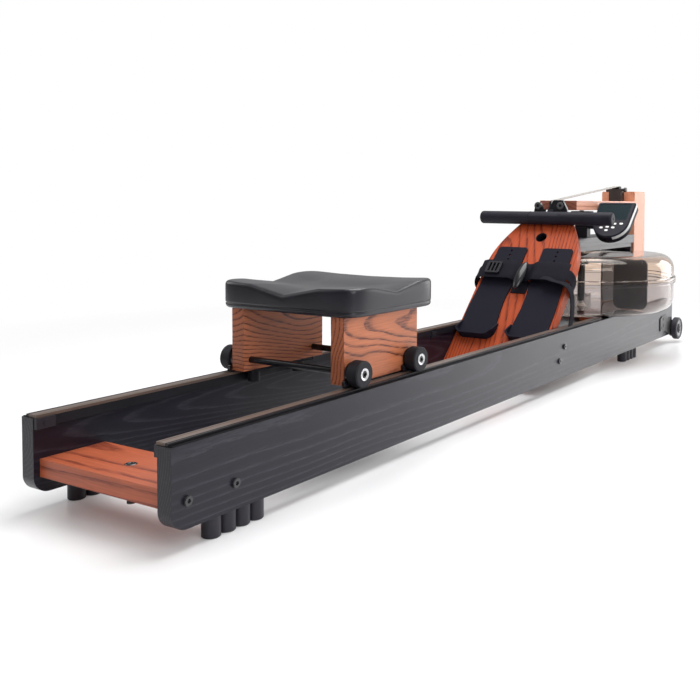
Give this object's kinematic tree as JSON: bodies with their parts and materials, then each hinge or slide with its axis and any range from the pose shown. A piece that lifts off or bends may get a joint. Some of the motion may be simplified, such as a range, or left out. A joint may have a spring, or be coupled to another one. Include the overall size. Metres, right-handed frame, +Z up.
{
  "type": "water rowing machine",
  "caption": "Timber water rowing machine with a rolling seat on twin rails, foot board, clear water tank with paddle, belt drive, handle and monitor.",
  "frame": {"origin": "on the floor, below the middle of the machine's length and width", "axes": "+X to the side with the tail strap, seen from the seat towards the tank; +Y from the seat end to the tank end; +Z up"},
  "size_m": [0.5594, 2.094, 0.5177],
  "materials": {
    "black_wood": "black-stained open-grain timber",
    "red_wood": "red-brown oiled hardwood",
    "track": "extruded track strip",
    "black_plastic": "moulded black plastic",
    "pad": "smooth moulded foam skin",
    "rubber": "matte rubber",
    "plate": "dark blue-grey matte moulding",
    "steel": "steel",
    "black_steel": "black-finished steel",
    "tank": "clear brown-tinted plastic",
    "paddle": "dark smooth plastic",
    "webbing": "woven black webbing",
    "belt": "pale woven belt",
    "screen": "grey-green display",
    "keys": "white rubber keys",
    "bush": "natural bearing plastic"
  },
  "bodies": {
    "frame": {"rail_left": "black_wood", "rail_right": "black_wood", "track_caps": "track", "track_skirts": "black_plastic", "rear_stops": "rubber", "front_stops": "rubber", "rear_board": "red_wood", "rear_hook": "steel", "rail_bolts": "black_steel", "rubber_feet": "rubber", "foot_board": "red_wood", "foot_board_batten": "red_wood", "tank_lower": "tank", "tank_upper": "tank", "tank_seal": "rubber", "tank_pads": "rubber", "shaft_bush_lower": "bush", "shaft_bush_upper": "black_plastic", "lower_beam": "black_wood", "tank_clamp": "black_wood", "top_beam": "red_wood", "front_post": "red_wood", "front_board": "red_wood", "front_roller_bracket": "black_steel", "rear_roller_bracket": "black_steel", "lower_roller_bracket": "black_steel", "handle_rest": "black_plastic", "monitor_arm": "black_plastic", "transport_brackets": "black_steel", "instep_strap": "webbing", "strap_toggle": "black_plastic", "strap_buckle": "black_plastic", "drive_belt": "belt", "belt_return": "belt"},
    "seat": {"seat_panel_left": "red_wood", "seat_panel_right": "red_wood", "seat_pad": "pad", "seat_axles": "black_steel", "wheel_guards": "black_plastic", "slide_plates": "black_plastic", "guide_blocks": "black_plastic"},
    "wheel_rear_left": {"seat_wheel_rear_left": "black_plastic"},
    "wheel_rear_right": {"seat_wheel_rear_right": "black_plastic"},
    "wheel_front_left": {"seat_wheel_front_left": "black_plastic"},
    "wheel_front_right": {"seat_wheel_front_right": "black_plastic"},
    "drum": {"belt_drum": "black_plastic"},
    "paddle": {"paddle_shaft": "steel", "paddle_blades": "paddle"},
    "rear_roller": {"rear_roller": "black_plastic"},
    "front_roller": {"front_roller": "black_plastic"},
    "lower_roller": {"lower_roller": "black_plastic"},
    "handle": {"handle_bar": "pad", "pull_strap": "webbing"},
    "foot_plate_left": {"foot_plate_left": "plate"},
    "foot_plate_right": {"foot_plate_right": "plate"},
    "monitor": {"monitor_case": "black_plastic", "monitor_screen": "screen", "monitor_keys": "keys"},
    "transport_wheel_left": {"transport_wheel_left": "rubber"},
    "transport_wheel_right": {"transport_wheel_right": "rubber"}
  },
  "joints": [
    {"name": "seat_slide", "type": "slide", "parent": "frame", "child": "seat", "axis": [0, 1, 0], "range_m": [-0.37, 0.46]},
    {"name": "wheel_spin_rear_left", "type": "hinge", "parent": "seat", "child": "wheel_rear_left", "pos_m": [-0.148, -0.647, 0.16995], "axis": [1, 0, 0], "range_deg": [-1152, 927]},
    {"name": "wheel_spin_rear_right", "type": "hinge", "parent": "seat", "child": "wheel_rear_right", "pos_m": [0.148, -0.647, 0.16995], "axis": [1, 0, 0], "range_deg": [-1152, 927]},
    {"name": "wheel_spin_front_left", "type": "hinge", "parent": "seat", "child": "wheel_front_left", "pos_m": [-0.148, -0.4785, 0.16995], "axis": [1, 0, 0], "range_deg": [-1152, 927]},
    {"name": "wheel_spin_front_right", "type": "hinge", "parent": "seat", "child": "wheel_front_right", "pos_m": [0.148, -0.4785, 0.16995], "axis": [1, 0, 0], "range_deg": [-1152, 927]},
    {"name": "handle_pull", "type": "slide", "parent": "frame", "child": "handle", "axis": [0, -1, 0], "range_m": [0, 1.2], "deforming": ["pull_strap"]},
    {"name": "drum_spin", "type": "hinge", "parent": "frame", "child": "drum", "pos_m": [0, 0.614, 0.418], "axis": [0, 0, 1], "range_deg": [-2747, 0]},
    {"name": "rear_roller_spin", "type": "hinge", "parent": "frame", "child": "rear_roller", "pos_m": [0, 0.431, 0.459], "axis": [1, 0, 0], "range_deg": [0, 6843]},
    {"name": "front_roller_spin", "type": "hinge", "parent": "frame", "child": "front_roller", "pos_m": [0, 0.893, 0.506], "axis": [1, 0, 0], "range_deg": [0, 6224]},
    {"name": "lower_roller_spin", "type": "hinge", "parent": "frame", "child": "lower_roller", "pos_m": [0, 0.893, 0.413], "axis": [1, 0, 0], "range_deg": [0, 6224]},
    {"name": "paddle_spin", "type": "hinge", "parent": "frame", "child": "paddle", "pos_m": [0, 0.614, 0.3], "axis": [0, 0, 1], "continuous": true},
    {"name": "foot_left_slide", "type": "slide", "parent": "frame", "child": "foot_plate_left", "axis": [0, 0.682, 0.7314], "range_m": [-0.031, 0.046]},
    {"name": "foot_right_slide", "type": "slide", "parent": "frame", "child": "foot_plate_right", "axis": [0, 0.682, 0.7314], "range_m": [-0.031, 0.046]},
    {"name": "monitor_tilt", "type": "hinge", "parent": "frame", "child": "monitor", "pos_m": [0.066, 0.55897, 0.39415], "axis": [1, 0, 0], "range_deg": [-15, 15]},
    {"name": "transport_left_spin", "type": "hinge", "parent": "frame", "child": "transport_wheel_left", "pos_m": [-0.174, 1.011, 0.047], "axis": [1, 0, 0], "continuous": true},
    {"name": "transport_right_spin", "type": "hinge", "parent": "frame", "child": "transport_wheel_right", "pos_m": [0.174, 1.011, 0.047], "axis": [1, 0, 0], "continuous": true}
  ],
  "couplings": [
    {"joint": "wheel_spin_rear_left", "follows": "seat_slide", "rad_per_m": -43.668},
    {"joint": "wheel_spin_rear_right", "follows": "seat_slide", "rad_per_m": -43.668},
    {"joint": "wheel_spin_front_left", "follows": "seat_slide", "rad_per_m": -43.668},
    {"joint": "wheel_spin_front_right", "follows": "seat_slide", "rad_per_m": -43.668},
    {"joint": "drum_spin", "follows": "handle_pull", "rad_per_m": -39.92},
    {"joint": "rear_roller_spin", "follows": "handle_pull", "rad_per_m": 99.502},
    {"joint": "front_roller_spin", "follows": "handle_pull", "rad_per_m": 90.498},
    {"joint": "lower_roller_spin", "follows": "handle_pull", "rad_per_m": 90.498}
  ]
}
